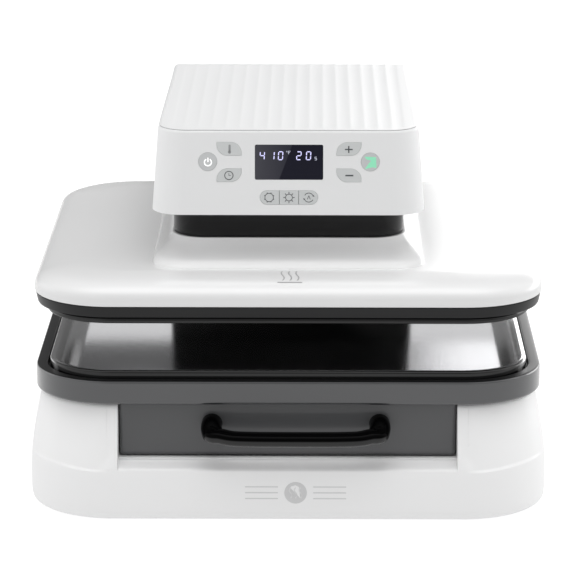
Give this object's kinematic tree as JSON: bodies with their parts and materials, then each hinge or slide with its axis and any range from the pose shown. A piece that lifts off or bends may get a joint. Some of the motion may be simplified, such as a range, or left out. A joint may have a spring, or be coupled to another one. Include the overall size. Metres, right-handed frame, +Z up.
{
  "type": "heat press",
  "caption": "Automatic benchtop heat press: motor-driven heated platen over a silicone mat in a pull-out drawer, with a front key panel and display.",
  "frame": {"origin": "centre of the footprint on the bench, under the middle of the bounding box", "axes": "+X to the right seen from the front, +Y to the back, +Z up; the control panel and drawer face -Y"},
  "size_m": [0.447, 0.5012, 0.3285],
  "materials": {
    "white_gloss": "glossy white moulding",
    "white_satin": "satin white",
    "black_gloss": "glossy black",
    "black_satin": "satin black",
    "grey_satin": "satin dark grey powder coat on cast aluminium",
    "rubber": "soft black rubber",
    "silicone": "smooth black silicone",
    "steel": "bright steel",
    "aluminium": "cast aluminium",
    "brass": "machined brass",
    "key_grey": "pale grey key",
    "glass_navy": "dark display glass",
    "board_green": "circuit board",
    "wool": "mineral wool"
  },
  "bodies": {
    "base": {"base_shell": "white_gloss", "base_plate": "steel", "foot_front_left": "rubber", "foot_front_right": "rubber", "foot_back_left": "rubber", "foot_back_right": "rubber", "outer_rail_left": "steel", "outer_rail_right": "steel", "power_inlet": "black_satin", "rocker_bezel": "black_satin", "press_frame": "steel", "head_cover": "white_gloss", "head_underside": "white_satin", "rear_panel": "white_satin", "display_lens": "glass_navy", "display_module": "black_satin", "control_board": "board_green", "thrust_bearing": "steel", "gearmotor": "steel", "guide_bush_1": "brass", "guide_bush_2": "brass", "guide_bush_3": "brass", "guide_bush_4": "brass"},
    "platen": {"platen_cover": "white_gloss", "platen_trim": "black_satin", "heater_frame": "black_satin", "heater_plate": "aluminium", "insulation": "wool", "pressure_plate": "steel", "nut_tower": "steel", "screw_nut": "brass", "neck_sleeve": "black_gloss", "guide_rod_1": "steel", "guide_rod_2": "steel", "guide_rod_3": "steel", "guide_rod_4": "steel"},
    "screw_drive": {"lead_screw": "steel", "screw_gear": "brass"},
    "pinion_drive": {"motor_pinion": "steel"},
    "drawer": {"drawer_tray": "grey_satin", "mat_plate": "aluminium", "press_mat": "silicone", "drawer_front": "grey_satin", "drawer_carriage": "grey_satin", "inner_rail_left": "steel", "inner_rail_right": "steel", "drawer_handle": "black_gloss", "handle_screw_left": "steel", "handle_screw_right": "steel"},
    "rocker": {"power_rocker": "black_gloss"},
    "power_key": {"key_power": "key_grey"},
    "start_key": {"key_start": "key_grey"},
    "temperature_key": {"key_temperature": "key_grey"},
    "timer_key": {"key_timer": "key_grey"},
    "plus_key": {"key_plus": "key_grey"},
    "minus_key": {"key_minus": "key_grey"},
    "mode_left_key": {"key_mode_left": "key_grey"},
    "mode_middle_key": {"key_mode_middle": "key_grey"},
    "mode_right_key": {"key_mode_right": "key_grey"}
  },
  "joints": [
    {"name": "platen_press", "type": "slide", "parent": "base", "child": "platen", "axis": [0, 0, -1], "range_m": [0, 0.0395]},
    {"name": "screw_spin", "type": "hinge", "parent": "base", "child": "screw_drive", "pos_m": [0, -0.014, 0.3], "axis": [0, 0, 1], "range_deg": [-10, 1790]},
    {"name": "pinion_spin", "type": "hinge", "parent": "base", "child": "pinion_drive", "pos_m": [-0.048, -0.014, 0.3], "axis": [0, 0, 1], "range_deg": [-5350, 20]},
    {"name": "drawer_slide", "type": "slide", "parent": "base", "child": "drawer", "axis": [0, -1, 0], "range_m": [0, 0.28]},
    {"name": "rocker_tilt", "type": "hinge", "parent": "base", "child": "rocker", "pos_m": [0.034, 0.243, 0.03], "axis": [1, 0, 0], "range_deg": [-7, 7]},
    {"name": "key_power_push", "type": "slide", "parent": "base", "child": "power_key", "axis": [0, 0.9976, -0.0688], "range_m": [0, 0.0008], "stiffness_N_per_m": 300},
    {"name": "key_start_push", "type": "slide", "parent": "base", "child": "start_key", "axis": [0, 0.9976, -0.0688], "range_m": [0, 0.0008], "stiffness_N_per_m": 300},
    {"name": "key_temperature_push", "type": "slide", "parent": "base", "child": "temperature_key", "axis": [0, 0.9976, -0.0688], "range_m": [0, 0.0008], "stiffness_N_per_m": 300},
    {"name": "key_timer_push", "type": "slide", "parent": "base", "child": "timer_key", "axis": [0, 0.9976, -0.0688], "range_m": [0, 0.0008], "stiffness_N_per_m": 300},
    {"name": "key_plus_push", "type": "slide", "parent": "base", "child": "plus_key", "axis": [0, 0.9976, -0.0688], "range_m": [0, 0.0008], "stiffness_N_per_m": 300},
    {"name": "key_minus_push", "type": "slide", "parent": "base", "child": "minus_key", "axis": [0, 0.9976, -0.0688], "range_m": [0, 0.0008], "stiffness_N_per_m": 300},
    {"name": "key_mode_left_push", "type": "slide", "parent": "base", "child": "mode_left_key", "axis": [0, 0.9976, -0.0688], "range_m": [0, 0.0008], "stiffness_N_per_m": 300},
    {"name": "key_mode_middle_push", "type": "slide", "parent": "base", "child": "mode_middle_key", "axis": [0, 0.9976, -0.0688], "range_m": [0, 0.0008], "stiffness_N_per_m": 300},
    {"name": "key_mode_right_push", "type": "slide", "parent": "base", "child": "mode_right_key", "axis": [0, 0.9976, -0.0688], "range_m": [0, 0.0008], "stiffness_N_per_m": 300}
  ],
  "couplings": [
    {"joint": "screw_spin", "follows": "platen_press", "rad_per_m": 785.4},
    {"joint": "pinion_spin", "follows": "platen_press", "rad_per_m": -2356.2}
  ]
}
